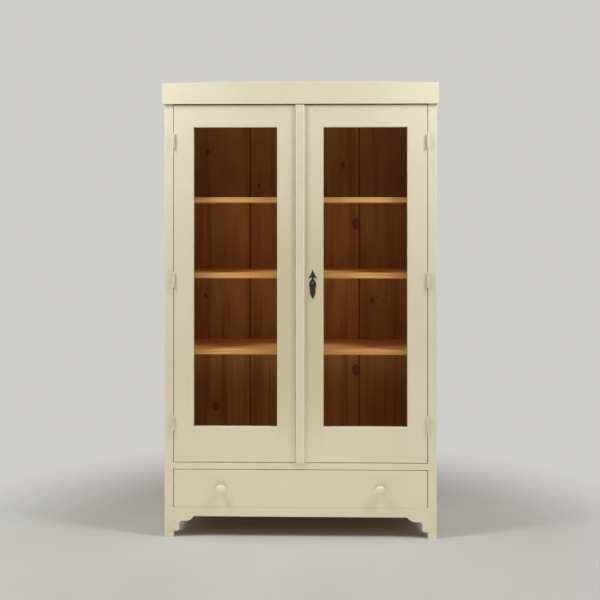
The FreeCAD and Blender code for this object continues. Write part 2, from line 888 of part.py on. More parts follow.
def door_bolts():
    """Upright barrel bolts on the back of the left door, one at each end."""
    plates = []
    tips = {"upper": (stop_bottom - size.bolt_tip_gap, 1), "lower": (rail_top + size.bolt_tip_gap, -1)}
    half_grip = size.bolt_grip_width / 2
    grip_x = (bolt_x - half_grip, bolt_x + half_grip)
    plate_back = door_back + size.leaf_thickness
    for word, (tip, way) in tips.items():
        name = f"door_bolt_{word}"
        plate_tip = tip - way * size.bolt_tip_gap
        plate_end = plate_tip - way * size.bolt_plate_height
        plate_z = (plate_end, plate_tip) if way > 0 else (plate_tip, plate_end)
        half_plate = size.bolt_plate_width / 2
        parts = [
            box(f"{name}_plate", (bolt_x - half_plate, bolt_x + half_plate), (door_back, plate_back), plate_z)
        ]
        half_loop = size.bolt_loop_width / 2
        loop_y = (plate_back, plate_back + size.bolt_loop_depth)
        loops_z = (
            (plate_z[0], plate_z[0] + size.bolt_loop_height),
            (plate_z[1] - size.bolt_loop_height, plate_z[1]),
        )
        for end, loop_z in zip(("bottom", "top"), loops_z):
            parts.append(
                box(f"{name}_loop_{end}", (bolt_x - half_loop, bolt_x + half_loop), loop_y, loop_z)
            )
        bore_start = plate_z[0] - size.bolt_length
        bore = rod(
            f"{name}_bore",
            size.bolt_radius + size.bolt_play,
            (bolt_x, bolt_y, bore_start),
            size.bolt_length * 3,
        )
        plates.append(cut(f"{name}_holder", fuse(f"{name}_frame", *parts), bore))
        low = tip - size.bolt_length if way > 0 else tip
        shaft = rod(f"{name}_shaft", size.bolt_radius, (bolt_x, bolt_y, low), size.bolt_length)
        middle = low + size.bolt_length / 2 - way * size.bolt_tip_gap * 2
        grip_z = (middle - size.bolt_grip_height / 2, middle + size.bolt_grip_height / 2)
        grip = box(f"{name}_grip", grip_x, (bolt_y, bolt_y + size.bolt_grip_reach), grip_z)
        keep(fuse(name, shaft, grip), name)
    keep(group("door_bolt_plates", plates), "door_bolt_plates")


def dovetails(word, side_x):
    """Tails on the front end of a drawer side, hidden behind the face of the drawer front."""
    reach = size.drawer_front_thickness - size.drawer_front_lap
    wide = size.tail_width / 2
    narrow = wide - size.tail_flare
    tails = []
    for number in range(TAILS):
        name = f"drawer_tail_{word}_{number + 1}"
        middle = drawer_side_bottom + size.drawer_side_height * (number + 0.5) / TAILS
        body = new_body(name, side_x[0], drawer_front_back, middle)
        corners = [(0, -narrow), (0, narrow), (-reach, wide), (-reach, -wide)]
        sketch = outline(body, "YZ_Plane", f"{name}_face", corners)
        pad(body, f"{name}_pad", sketch, size.drawer_side_thickness)
        tails.append(body)
    return tails


def drawer():
    """Drawer box with a dovetailed front, a floor in grooves and two turned knobs."""
    front_y = (front, drawer_front_back)
    front_x = (-drawer_edge, drawer_edge)
    front_z = (drawer_front_bottom, drawer_front_top)
    sides_x = {word: span(side, drawer_side_inner, drawer_side_outer) for word, side in SIDES.items()}
    side_z = (drawer_side_bottom, drawer_side_bottom + size.drawer_side_height)
    side_y = (drawer_front_back, drawer_side_back)
    floor_z = (drawer_floor, drawer_floor_top)
    groove = size.drawer_groove
    floor_edge = drawer_side_inner + groove
    floor_y = (drawer_front_back - groove, drawer_side_back)
    tails = {word: dovetails(word, side_x) for word, side_x in sides_x.items()}
    tools = [box("drawer_front_groove", (-floor_edge, floor_edge), (floor_y[0], drawer_front_back), floor_z)]
    knob_turn = FreeCAD.Rotation(FreeCAD.Vector(1, 0, 0), -90)
    for word, side in SIDES.items():
        tools += tails[word]
        tools.append(
            rod(
                f"drawer_front_hole_{word}",
                size.knob_tenon_radius,
                (side * knob_place, front, size.knob_height),
                size.drawer_front_thickness,
                knob_turn,
            )
        )
    face = eased_board("drawer_face", front_x, front_y, front_z, ["left", "right", "top"])
    keep(cut("drawer_front", face, *tools), "drawer_front")
    for word, side in SIDES.items():
        name = f"drawer_side_{word}"
        groove_x = span(side, drawer_side_inner, floor_edge)
        board = fuse(f"{name}_tailed", box(f"{name}_board", sides_x[word], side_y, side_z), *tails[word])
        keep(cut(name, board, box(f"{name}_groove", groove_x, floor_y, floor_z)), name)
    back_y = (drawer_side_back - size.drawer_side_thickness, drawer_side_back)
    back_z = (drawer_floor_top, side_z[1] - size.drawer_back_drop)
    keep(box("drawer_back", (-drawer_side_inner, drawer_side_inner), back_y, back_z), "drawer_back")
    keep(box("drawer_floor", (-floor_edge, floor_edge), floor_y, floor_z), "drawer_floor")
    for word, side in SIDES.items():
        knob(f"drawer_knob_{word}", side)


def knob(name, side):
    """Turned knob: tenon through the drawer front, neck and a head bevelled to a dome."""
    body = new_body(name, side * knob_place, front, size.knob_height)
    profile = [
        (0, size.drawer_front_thickness),
        (0, -size.knob_reach),
        (size.knob_face_radius, -size.knob_reach),
        (size.knob_shoulder_radius, -size.knob_shoulder),
        (size.knob_radius, -size.knob_rim),
        (size.knob_radius, -size.knob_under),
        (size.knob_neck_radius, -size.knob_under),
        (size.knob_neck_radius, 0),
        (size.knob_tenon_radius, 0),
        (size.knob_tenon_radius, size.drawer_front_thickness),
    ]
    sketch = outline(body, "XY_Plane", f"{name}_profile", profile)
    turning = body.newObject("PartDesign::Revolution", f"{name}_turning")
    turning.Profile = sketch
    turning.ReferenceAxis = (sketch, ["V_Axis"])
    turning.Angle = 360
    keep(body, name)


def drawer_ways():
    """Runners under the drawer sides and stops behind the apron."""
    runner_y = (larger(front + size.board_thickness, drawer_front_back), rear_rail_y)
    runner_z = (drawer_side_bottom - size.runner_height, drawer_side_bottom)
    for word, side in SIDES.items():
        name = f"drawer_runner_{word}"
        keep(box(name, span(side, inner - size.runner_width, inner), runner_y, runner_z), name)
    stop_y = (drawer_front_back, drawer_front_back + size.cleat_size)
    stop_z = (size.apron_bottom + size.apron_round, drawer_side_bottom + size.drawer_stop_height)
    stops = []
    for word, side in SIDES.items():
        stop_x = span(side, size.drawer_stop_place, size.drawer_stop_place + size.drawer_stop_width)
        stops.append(box(f"drawer_stop_{word}", stop_x, stop_y, stop_z))
    keep(group("drawer_stops", stops), "drawer_stops")


def check_and_write():
    """Stop on any failed feature or bad shape, then write each piece to its own file."""
    doc.recompute()
    for thing in doc.Objects:
        if {"Invalid", "Error"} & set(thing.State):
            raise RuntimeError(f"{thing.Name} failed: {thing.State}")
    for piece in nodes:
        if piece.Shape.isNull() or not piece.Shape.isValid() or not piece.Shape.Solids:
            raise RuntimeError(f"{piece.Label} has no sound shape")
    os.makedirs("parts", exist_ok=True)
    for piece in nodes:
        piece.Shape.exportStep(f"parts/{piece.Label}.step")


posts()
rails()
foot_brackets()
cornice()
back_boards()
shelves()
hinges()
for door_word, door_side in SIDES.items():
    door(door_word, door_side)
meeting_strip()
escutcheon()
lock()
door_bolts()
drawer()
drawer_ways()
check_and_write()
print(f"{len(nodes)} nodes")
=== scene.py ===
"""Glazed display cabinet in painted pine: finishes, small metalwork and turned knobs round its solids.

Metres, +Z up, in the cabinet's own frame: the front faces -Y and +X runs to the right as one faces it.
"""
import json
import math

import bmesh
import bpy
from mathutils import Matrix, Vector


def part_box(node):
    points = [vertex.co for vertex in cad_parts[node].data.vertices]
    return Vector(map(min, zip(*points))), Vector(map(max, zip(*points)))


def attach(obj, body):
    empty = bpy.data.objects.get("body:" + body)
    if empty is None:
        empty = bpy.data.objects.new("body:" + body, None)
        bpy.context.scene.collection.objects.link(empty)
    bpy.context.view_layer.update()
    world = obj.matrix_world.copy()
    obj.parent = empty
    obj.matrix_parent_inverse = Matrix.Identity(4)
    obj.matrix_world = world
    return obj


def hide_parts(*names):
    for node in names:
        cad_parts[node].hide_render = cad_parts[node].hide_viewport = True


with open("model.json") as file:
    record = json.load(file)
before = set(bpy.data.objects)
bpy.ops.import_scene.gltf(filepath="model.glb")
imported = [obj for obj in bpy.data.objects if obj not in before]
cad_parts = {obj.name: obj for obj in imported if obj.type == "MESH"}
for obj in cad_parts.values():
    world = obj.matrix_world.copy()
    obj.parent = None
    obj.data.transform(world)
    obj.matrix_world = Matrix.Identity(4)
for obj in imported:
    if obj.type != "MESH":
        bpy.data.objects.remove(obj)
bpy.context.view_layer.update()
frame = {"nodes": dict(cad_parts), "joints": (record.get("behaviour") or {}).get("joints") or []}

bl_info = {
    "name": "Display cabinet",
    "version": (1, 0, 0),
    "blender": (4, 5, 0),
    "location": "View3D > Sidebar > Cabinet",
    "description": "Finishes and fittings of a glazed display cabinet in painted pine",
    "category": "Object",
}

SIDES = {"left": -1, "right": 1}
POSTS = [f"post_{place}_{side}" for place in ("front", "rear") for side in SIDES]
SIDE_BOARDS = [f"side_board_{side}" for side in SIDES]
BACK_BOARDS = [f"back_board_{number}" for number in range(1, 5)]
SHELVES = ["shelf_high", "shelf_middle", "shelf_low"]
STILES = [f"door_{side}_stile_{place}" for side in SIDES for place in ("inner", "outer")]
DOOR_RAILS = [f"door_{side}_rail_{place}" for side in SIDES for place in ("top", "bottom")]
CLEATS = [f"shelf_cleats_{side}" for side in SIDES]
HINGE_HALVES = [f"hinges_{side}_{kind}" for side in SIDES for kind in ("post", "door")]
# Depth under a face that still counts as the face.
SKIN = 0.0005
# Hinges on one post stand further apart than this.
HINGE_ROOM = 0.2
# Lamps below this height would be mirrored in the panes.
PANE_TOP = 1.7
# Points closer than this are one point.
TOUCHING = 1e-6
# Heights of the key plate's pins, as shares of its height.
PIN_HEIGHTS = (0.13, 0.86)
# The floor fades out between these distances from a point this far before the cabinet's middle.
FADE_START = 0.8
FADE_END = 1.8
FADE_AHEAD = 0.3
# Profile of a drawer knob, as shares of its foot, neck and head radius and of its reach.
KNOB_FOOT = ((0.96, 0), (1, 0.02), (1, 0.07), (0.94, 0.1))
KNOB_NECK = ((1.06, 0.16), (1, 0.22), (1.03, 0.27), (1.2, 0.33))
KNOB_HEAD = (
    (0.72, 0.39),
    (0.9, 0.46),
    (0.98, 0.53),
    (1, 0.6),
    (0.985, 0.67),
    (0.92, 0.76),
    (0.8, 0.84),
    (0.62, 0.91),
    (0.4, 0.965),
    (0.18, 0.992),
)


def linear(steps):
    """Linear colour of a swatch given in steps from 0 to 255."""
    shares = [step / 255 for step in steps]
    return [s / 12.92 if s <= 0.04045 else ((s + 0.055) / 1.055) ** 2.4 for s in shares]


def swatch(name, description, steps):
    """Colour that a user may change."""
    return bpy.props.FloatVectorProperty(
        name=name, description=description, subtype="COLOR", size=3, min=0, max=1, default=linear(steps)
    )


def length(name, description, millimetres):
    """Size that a user may change."""
    return bpy.props.FloatProperty(
        name=name, description=description, default=millimetres / 1000, min=0, unit="LENGTH"
    )


def power(name, description, watts):
    """Lamp power that a user may change."""
    return bpy.props.FloatProperty(name=name, description=description, default=watts, min=0, unit="POWER")


def brightness(name, description, part):
    """Share of full light that a user may change."""
    return bpy.props.FloatProperty(
        name=name, description=description, default=part, min=0, max=1, subtype="FACTOR"
    )


class CabinetSizes(bpy.types.PropertyGroup):
    """Sizes of the turned and metal pieces."""

    knob_neck: length("Knob neck", "Radius of a drawer knob's neck", 9.5)
    knob_foot: length("Knob foot", "Radius of a drawer knob's foot on the drawer", 11)
    knob_tenon: length("Knob tenon", "Radius of the tenon through the drawer front", 7)
    plate_edge: length("Key plate edge", "Filed bevel round the key plate", 0.7)
    pin_head: length("Pin head", "Radius of the key plate's pins", 1.6)
    hinge_cap: length("Hinge cap", "Height of the domed cap on a hinge knuckle", 2.4)
    screw_head: length("Screw head", "Radius of a fitting's screw head", 3.2)
    leaf_screw: length("Leaf screw", "Radius of a hinge leaf's screw head", 2.6)
    # Width of the painted highlight along the cover strip's right edge.
    highlight_width: length("Rubbed line", "Width of the rubbed line along the cover strip's edge", 5)
    # Width of the painted shade on the stile beside the cover strip.
    painted_shade_width: length("Dust line", "Width of the dusty line beside the cover strip", 2)
    leaf_play: length("Leaf play", "Distance from a hinge's axis to the face of its leaf", 0.3)
    leaf_margin: length("Leaf margin", "Distance of a leaf's first screw from its end", 7)
    nail_head: length("Nail head", "Radius of a back board's nail head", 3.0)
    nail_margin: length("Nail margin", "Distance of the nails from a back board's edge", 30)
    rail_nail: length("Rail nail", "Height of the lowest nails above the rear rail's lower edge", 20)
    top_nail: length("Top nail", "Height of the highest nails above the top board's underside", 10)
    brad_head: length("Brad head", "Radius of a glazing bead's brad", 0.9)
    brad_margin: length("Brad margin", "Distance of a bead's first brad from its end", 50)
    brad_inset: length("Brad inset", "Distance of the brads from a bead's outer edge", 4)
    cleat_margin: length("Cleat margin", "Distance of a cleat's first screw from its end", 30)
    cleat_drop: length("Cleat drop", "Distance of a cleat's screws below its shelf", 9)
    lock_margin: length("Lock margin", "Distance of the lock's screws from its edges", 8)
    bolt_plate: length("Bolt plate", "Height of a door bolt's plate", 80)
    bolt_plate_margin: length("Bolt plate margin", "Distance of a bolt plate's screws from its ends", 20)
    bolt_plate_inset: length("Bolt plate inset", "Distance of a bolt plate's screws from its sides", 3.5)
    bolt_plate_thickness: length("Bolt plate thickness", "Thickness of a door bolt's plate", 2)


class CabinetColours(bpy.types.PropertyGroup):
    """Colours of the finishes."""

    paint: swatch("Paint", "Pale olive cream on the outside", (224, 214, 186))
    paint_aged: swatch("Aged paint", "Paint where it has yellowed", (219, 208, 177))
    # Darker paint on the inner stiles at middle height: partly yellowed by handling, partly painted
    # shade.
    paint_handled_and_shaded: swatch("Handled paint", "Paint darkened by hands beside the key", (211, 199, 163))
    # The lighter coat on rounded edges is partly worn paint, partly painted highlight; it also colours
    # the painted highlight along the cover strip.
    undercoat_highlight: swatch("Undercoat", "Lighter coat that shows on rubbed edges", (247, 243, 228))
    bare_wood: swatch("Bare wood", "Pine where the paint is gone", (178, 140, 92))
    oiled_early: swatch("Oiled pine", "Broad pale bands of the shelves", (250, 194, 118))
    oiled_late: swatch("Oiled pine rings", "Growth lines of the shelves", (222, 148, 78))
    stained_early: swatch("Stained pine", "Broad bands of the back boards", (232, 184, 104))
    stained_late: swatch("Stained pine rings", "Growth lines of the back boards", (164, 110, 48))
    raw_early: swatch("Raw pine", "Unfinished pine of the drawer", (186, 148, 100))
    raw_late: swatch("Raw pine rings", "Growth lines of the drawer's pine", (148, 104, 60))
    knot: swatch("Knot", "Heart of a knot", (70, 36, 14))
    iron: swatch("Iron", "Blackened key plate", (46, 46, 40))
    steel: swatch("Steel", "Lock and bolts", (150, 147, 140))


class StudioSettings(bpy.types.PropertyGroup):
    """Floor, background and lamps."""

    floor: swatch("Floor", "Plain pale floor", (200, 198, 191))
    bounce: swatch("Floor light", "Colour of the light that the floor throws back", (240, 238, 232))
    background: swatch("Background", "Pale field behind the cabinet", (206, 205, 202))
    upper: power("Upper lamps", "Watts of each lamp above the cabinet's sides", 39)
    lower: power("Lower lamps", "Watts of each lamp beside the feet", 1.6)
    front: power("Front lamp", "Watts of the lamp on the floor before the drawer", 2.1)
    rear: power("Rear lamp", "Watts of the lamp behind the cabinet", 36)
    sky: brightness("Even light", "Strength of the light from above", 0.36)
    cool: swatch("Upper light", "Tint of the upper lamps", (249, 251, 255))
    warm: swatch("Lower light", "Tint of the lower lamps", (255, 249, 228))


class Value:
    """A socket in a finish that takes part in sums."""

    def __init__(self, finish, socket):
        self.finish = finish
        self.socket = socket

    def sum(self, operation, *terms):
        """Result of a Math node on the given terms."""
        return self.finish.node("ShaderNodeMath", {"operation": operation}, dict(enumerate(terms)))

    def other(self, output):
        """Another output of the same node."""
        return Value(self.finish, self.socket.node.outputs[output])

    def __add__(self, term):
        return self.sum("ADD", self, term)

    def __radd__(self, term):
        return self.sum("ADD", term, self)

    def __sub__(self, term):
        return self.sum("SUBTRACT", self, term)

    def __rsub__(self, term):
        return self.sum("SUBTRACT", term, self)

    def __mul__(self, term):
        return self.sum("MULTIPLY", self, term)

    def __rmul__(self, term):
        return self.sum("MULTIPLY", term, self)

    def __pow__(self, term):
        return self.sum("POWER", self, term)

    def __rpow__(self, term):
        return self.sum("POWER", term, self)

    def __gt__(self, term):
        return self.sum("GREATER_THAN", self, term)

    def __lt__(self, term):
        return self.sum("LESS_THAN", self, term)

    def __mod__(self, term):
        return self.sum("MODULO", self, term)

    def __rmod__(self, term):
        return self.sum("MODULO", term, self)

    def __abs__(self):
        return self.sum("ABSOLUTE", self)


class Finish:
    """Nodes of one material, or of the studio's even light."""

    def __init__(self, block):
        self.block = block
        block.use_nodes = True
        block.node_tree.nodes.clear()

    def node(self, kind, settings=None, sockets=None, output=0):
        """Add a node, set it up, then fill or link its sockets."""
        made = self.block.node_tree.nodes.new(kind)
        for setting, choice in (settings or {}).items():
            setattr(made, setting, choice)
        for socket, value in (sockets or {}).items():
            if isinstance(value, Value):
                self.block.node_tree.links.new(value.socket, made.inputs[socket])
            else:
                made.inputs[socket].default_value = value
        return Value(self, made.outputs[output]) if made.outputs else None

    def place(self, output="Object"):
        """Where a point lies on the piece."""
        return self.node("ShaderNodeTexCoord", output=output)

    def parts(self, vector):
        """The three parts of a vector."""
        first = self.node("ShaderNodeSeparateXYZ", sockets={0: vector})
        return first, first.other(1), first.other(2)

    def point(self, *parts):
        """A vector from its three parts."""
        return self.node("ShaderNodeCombineXYZ", sockets=dict(enumerate(parts)))

    def noise(self, where, scale=1.0, detail=2.0):
        """Soft noise from 0 to 1."""
        sockets = {"Vector": where, "Scale": scale, "Detail": detail}
        return self.node("ShaderNodeTexNoise", sockets=sockets)

    def ease(self, value, low, high):
        """0 below the low end, 1 above the high end, smooth between."""
        sockets = {"Value": value, "From Min": low, "From Max": high}
        return self.node("ShaderNodeMapRange", {"interpolation_type": "SMOOTHSTEP"}, sockets)

    def most(self, first, second):
        """The larger of two values."""
        return self.node("ShaderNodeMath", {"operation": "MAXIMUM"}, {0: first, 1: second})

    def mix(self, share, first, second):
        """Blend of two colours."""
        colours = [c if isinstance(c, Value) else (*c, 1) for c in (first, second)]
        sockets = {0: share, 6: colours[0], 7: colours[1]}
        return self.node("ShaderNodeMix", {"data_type": "RGBA"}, sockets, output=2)

    def bump(self, height, strength, depth):
        """Normal of a surface with a slight relief."""
        sockets = {"Height": height, "Strength": strength, "Distance": depth}
        return self.node("ShaderNodeBump", sockets=sockets)

    def surface(self, **sockets):
        """The usual shader, with sockets named in words joined by underscores."""
        named = {words.replace("_", " "): value for words, value in sockets.items()}
        return self.node("ShaderNodeBsdfPrincipled", sockets=named)

    def show(self, shader):
        """Send a shader to the output and give the finished block back."""
        kind = "World" if isinstance(self.block, bpy.types.World) else "Material"
        self.node(f"ShaderNodeOutput{kind}", sockets={"Surface": shader})
        return self.block


def new_finish(name):
    """Empty finish for a new material."""
    return Finish(bpy.data.materials.new(name))


def along_grain(finish, grain):
    """Distances along the grain, across the board and through it.

    Grain names the axis along which the board runs, then the axis across its face.
    """
    parts = dict(zip("XYZ", finish.parts(finish.place())))
    through = next(axis for axis in "XYZ" if axis not in grain)
    return parts[grain[0]], parts[grain[1]], parts[through]


def edge_mask(finish):
    """1 on rounded edges, where the surface faces along no main direction."""
    faces = [abs(part) for part in finish.parts(finish.place("Normal"))]
    return 1 - finish.ease(finish.most(finish.most(faces[0], faces[1]), faces[2]), 0.84, 0.985)


def painted(finish, grain, colours, edges=True, gloss=0.4, line=None, hands=None):
    """Brushed satin paint over pine: faint brush lines, grain that shows through, and lighter rounded
    edges that are partly worn paint, partly painted highlight.

    Line gives a corner of the front face, the width of an upright line beside it, and the line's tone.
    A height and a tone darken the paint below that height: partly paint yellowed by handling, partly
    painted shade at middle height.
    """
    place = finish.place()
    run, across, through = along_grain(finish, grain)
    height = finish.parts(place)[2]
    brush = finish.noise(finish.point(run * 14, across * 620, through * 620), detail=3)
    veins = finish.noise(finish.point(run * 2.2, across * 85, through * 85), detail=4)
    cloud = finish.noise(place, 4.5, 3)
    patch = finish.noise(place, 36, 4)
    colour = finish.mix(finish.ease(cloud, 0.3, 0.72) * 0.5, colours.paint, colours.paint_aged)
    colour = finish.mix(finish.ease(veins, 0.55, 0.8) * 0.22, colour, colours.paint_aged)
    # Darker band on the inner stiles at middle height, fading out above and towards the floor: partly
    # paint yellowed by handling, partly painted shade.
    if hands:
        reach, handled_and_shaded = hands
        above_feet = finish.ease(height, 0.3, 0.6)
        below_reach = 1 - finish.ease(height, reach, reach + 0.45)
        colour = finish.mix(above_feet * below_reach * 0.85, colour, handled_and_shaded)
    scuff = (1 - finish.ease(height, 0.004, 0.075)) * finish.ease(patch, 0.46, 0.66)
    colour = finish.mix(scuff * 0.3, colour, colours.bare_wood)
    rough = gloss + cloud * 0.14 + scuff * 0.1 - brush * 0.05
    # Rounded edges lighten towards the lighter coat: partly worn paint, partly painted highlight; chips
    # show bare wood.
    if edges:
        rub_and_highlight = edge_mask(finish) * finish.ease(patch, 0.25, 0.6)
        chip = rub_and_highlight * finish.ease(finish.noise(place, 120, 3), 0.63, 0.7)
        colour = finish.mix(rub_and_highlight * 0.6, colour, colours.undercoat_highlight)
        colour = finish.mix(chip * 0.7, colour, colours.bare_wood)
        rough = rough + rub_and_highlight * 0.12
    # Upright line beside a corner of the front face: a painted highlight on the cover strip, painted
    # shade on the stile beside it.
    if line:
        corner, width, tone = line
        x, y = finish.parts(place)[:2]
        mark = (1 - finish.ease(abs(x - corner.x), width * 0.5, width)) * (y < corner.y + SKIN)
        colour = finish.mix(mark * 0.75, colour, tone)
    relief = finish.bump(brush * 0.4 + veins * 0.6, 0.3, 0.0006)
    return finish.surface(Base_Color=colour, Roughness=rough, Normal=relief)


def paint(name, grain, colours, **looks):
    """Material of painted boards."""
    finish = new_finish(name)
    return finish.show(painted(finish, grain, colours, **looks))


def sawn(finish, grain, early, late, knot, rings=150, knots=0.3, gloss=0.5, shine=0.5, seams=()):
    """Plain-sawn pine: growth rings, fibres and knots, with its own pattern on each board."""
    run, across, through = along_grain(finish, grain)
    board = sum(across > seam for seam in seams) if seams else 0
    # Darker band on each side of a board seam: painted shade in the seams.
    joint = 0.0
    for seam in seams:
        joint = finish.most(joint, 1 - finish.ease(abs(across - seam), 0.0015, 0.005))
    tint = board * 0.618 % 1
    run = run + board * 3.71
    wobble = finish.noise(finish.point(run * 60, across * 60, through * 60), detail=3)
    where = finish.point(run * 0.75 + wobble * 0.012, across + board * 1.37 - wobble * 0.01, 0)
    sockets = {"Vector": where, "Scale": 6.0, "Randomness": 1.0}
    spots = finish.node("ShaderNodeTexVoronoi", {"voronoi_dimensions": "2D"}, sockets)
    chance = finish.node("ShaderNodeSeparateColor", sockets={0: spots.other("Color")})
    present = chance < knots
    heart = 0.03 + chance.other(1) ** 2 * 0.09
    core = (1 - finish.ease(spots, heart * 0.7, heart)) * present
    outside = 1 - finish.ease(spots, heart, heart * 1.3)
    rim = finish.ease(spots, heart * 0.75, heart) * outside * present
    swirl = (1 - finish.ease(spots, 0, 0.42)) * present
    warp = finish.noise(finish.point(run * 1.1, across * 7, through * 7), detail=3)
    fibre = finish.noise(finish.point(run * 9, across * 340, through * 340), detail=4)
    streak = finish.noise(finish.point(run * 1.5, across * 32, through * 32), detail=3)
    cloud = finish.noise(finish.point(run * 2.5, across * 5, board * 2.3), detail=2)
    ring = (across * rings + through * rings * 0.6 + warp * 7 + swirl * swirl * 5) % 1
    dark = finish.ease(abs(ring), 0.25, 0.9) * (1 - finish.ease(abs(ring), 0.92, 1.0))
    colour = finish.mix(dark * 0.7, early, late)
    colour = finish.mix(finish.ease(streak, 0.42, 0.72) * 0.75, colour, late)
    colour = finish.mix(finish.ease(cloud, 0.35, 0.75) * 0.35, colour, late)
    colour = finish.mix(tint * 0.4, colour, late)
    colour = finish.mix(finish.ease(fibre, 0.5, 0.8) * 0.25, colour, late)
    colour = finish.mix(swirl * 0.35, colour, late)
    colour = finish.mix(core * 0.65, colour, knot)
    colour = finish.mix(rim * 0.85, colour, knot)
    # Painted shade along the board seams, in the colour of the knots.
    colour = finish.mix(joint * 0.75, colour, knot)
    rough = gloss + fibre * 0.16 - dark * 0.08 - core * 0.06
    relief = finish.bump(fibre * 0.5 - dark * 0.35 + core * 0.3, 0.35, 0.0007)
    return finish.surface(Base_Color=colour, Roughness=rough, Normal=relief, Specular_IOR_Level=shine)


def pine(name, grain, *tones, **looks):
    """Material of unpainted boards."""
    finish = new_finish(name)
    return finish.show(sawn(finish, grain, *tones, **looks))


def stained_tones(colours):
    """Early wood, late wood and knots of the stained pine."""
    return colours.stained_early, colours.stained_late, colours.knot


def lined(name, grain, colours, room):
    """Paint outside, and stained pine on the faces that line a room given by its two corners."""
    finish = new_finish(name)
    x, y, z = finish.parts(finish.place())
    low, high = room
    within = (abs(x) < high.x) * (y > low.y) * (z > low.z) * (z < high.z)
    outer = painted(finish, grain, colours)
    inner = sawn(finish, grain, *stained_tones(colours), gloss=0.5, shine=0.1)
    return finish.show(finish.node("ShaderNodeMixShader", sockets={0: within, 1: outer, 2: inner}))


def backed(name, colours, seams, lap, rear):
    """Stained pine in half-lapped boards, left bare on the face towards the wall."""
    finish = new_finish(name)
    bare = finish.parts(finish.place())[1] > rear
    inner_seams = [seam + lap for seam in seams]
    stained = sawn(finish, "ZX", *stained_tones(colours), seams=inner_seams, gloss=0.5, shine=0.1)
    raw = sawn(finish, "ZX", colours.raw_early, colours.raw_late, colours.knot, seams=seams, gloss=0.6)
    return finish.show(finish.node("ShaderNodeMixShader", sockets={0: bare, 1: stained, 2: raw}))


def blackened_iron(name, colour):
    """Forged iron: hammer marks, a brown bloom and brighter edges."""
    finish = new_finish(name)
    place = finish.place()
    hammer = finish.noise(place, 260, 2)
    bloom = finish.noise(place, 75, 4)
    brown = [share * 0.6 + rust * 0.4 for share, rust in zip(colour, linear((74, 52, 36)))]
    bright = [share * 0.5 + 0.09 for share in colour]
    tone = finish.mix(finish.ease(bloom, 0.45, 0.7), colour, brown)
    tone = finish.mix(edge_mask(finish) * 0.5, tone, bright)
    rough = 0.42 + bloom * 0.25
    relief = finish.bump(hammer * 0.7 + bloom * 0.3, 0.5, 0.0008)
    return finish.show(finish.surface(Base_Color=tone, Roughness=rough, Normal=relief, Metallic=0.55))


def old_steel(name, colour):
    """Drawn steel with fine scratches and grey patches."""
    finish = new_finish(name)
    place = finish.place()
    x, y, z = finish.parts(place)
    scratch = finish.noise(finish.point(x * 900, y * 900, z * 40), detail=3)
    patch = finish.noise(place, 60, 4)
    dull = [share * 0.55 for share in colour]
    tone = finish.mix(finish.ease(patch, 0.42, 0.68), colour, dull)
    rough = 0.34 + patch * 0.22 + scratch * 0.1
    relief = finish.bump(scratch * 0.6 + patch * 0.4, 0.2, 0.0003)
    return finish.show(finish.surface(Base_Color=tone, Roughness=rough, Normal=relief, Metallic=0.6))


def painted_iron(name, colours):
    """Hinge iron under the same paint, worn through on the round of the knuckles."""
    finish = new_finish(name)
    place = finish.place()
    patch = finish.noise(place, 90, 4)
    lump = finish.noise(place, 240, 2)
    grey = [share * 0.82 + iron * 0.12 for share, iron in zip(colours.paint_aged, colours.steel)]
    thin = [share * 0.97 for share in colours.paint]
    tone = finish.mix(finish.ease(patch, 0.4, 0.65), thin, grey)
    worn = finish.ease(finish.noise(place, 150, 4), 0.66, 0.74)
    tone = finish.mix(worn * 0.6, tone, colours.iron)
    rough = 0.4 + patch * 0.2
    relief = finish.bump(lump * 0.5 + patch * 0.5 - worn * 0.4, 0.35, 0.0005)
    return finish.show(finish.surface(Base_Color=tone, Roughness=rough, Normal=relief))


def pane_glass(name):
    """Clear drawn glass with a slight wave in what it mirrors."""
    finish = new_finish(name)
    x, y, z = finish.parts(finish.place())
    wave = finish.bump(finish.noise(finish.point(x * 5, y, z * 2.2), detail=1), 0.12, 0.01)
    sockets = {"Blend": 0.5, "Normal": wave}
    slant = finish.node("ShaderNodeLayerWeight", sockets=sockets, output="Facing")
    gleam = 0.002 + slant ** 5 * 0.9
    clear = finish.node("ShaderNodeBsdfTransparent", sockets={"Color": (0.955, 0.965, 0.95, 1)})
    mirror = finish.node(
        "ShaderNodeBsdfGlossy", sockets={"Color": (1, 1, 1, 1), "Roughness": 0.02, "Normal": wave}
    )
    return finish.show(finish.node("ShaderNodeMixShader", sockets={0: gleam, 1: clear, 2: mirror}))


def dress(material, *names):
    """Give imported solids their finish."""
    for name in names:
        for slot in frame["nodes"][name].material_slots:
            slot.material = material


def add_piece(name, shape, body, slot, material, *stands_for):
    """Make a shape into a piece that rides on a body of the cabinet."""
    mesh = bpy.data.meshes.new(name)
    shape.to_mesh(mesh)
    shape.free()
    mesh.materials.append(material)
    piece = bpy.data.objects.new(name, mesh)
    bpy.context.scene.collection.objects.link(piece)
    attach(piece, body)
    if stands_for:
        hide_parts(*stands_for)
    return piece


def turned(profile, steps):
    """Turned shape about the Z axis from a profile of radius and height, closed at both ends."""
    shape = bmesh.new()
    points = [shape.verts.new((radius, 0, height)) for radius, height in profile]
    edges = [shape.edges.new(pair) for pair in zip(points, points[1:])]
    bmesh.ops.spin(
        shape,
        geom=points + edges,
        cent=(0, 0, 0),
        axis=(0, 0, 1),
        angle=math.tau,
        steps=steps,
        use_merge=True,
    )
    bmesh.ops.remove_doubles(shape, verts=shape.verts, dist=TOUCHING)
    bmesh.ops.recalc_face_normals(shape, faces=shape.faces)
    return shape


def smooth(shape):
    """Shade every face of a shape smooth."""
    for face in shape.faces:
        face.smooth = True
    return shape


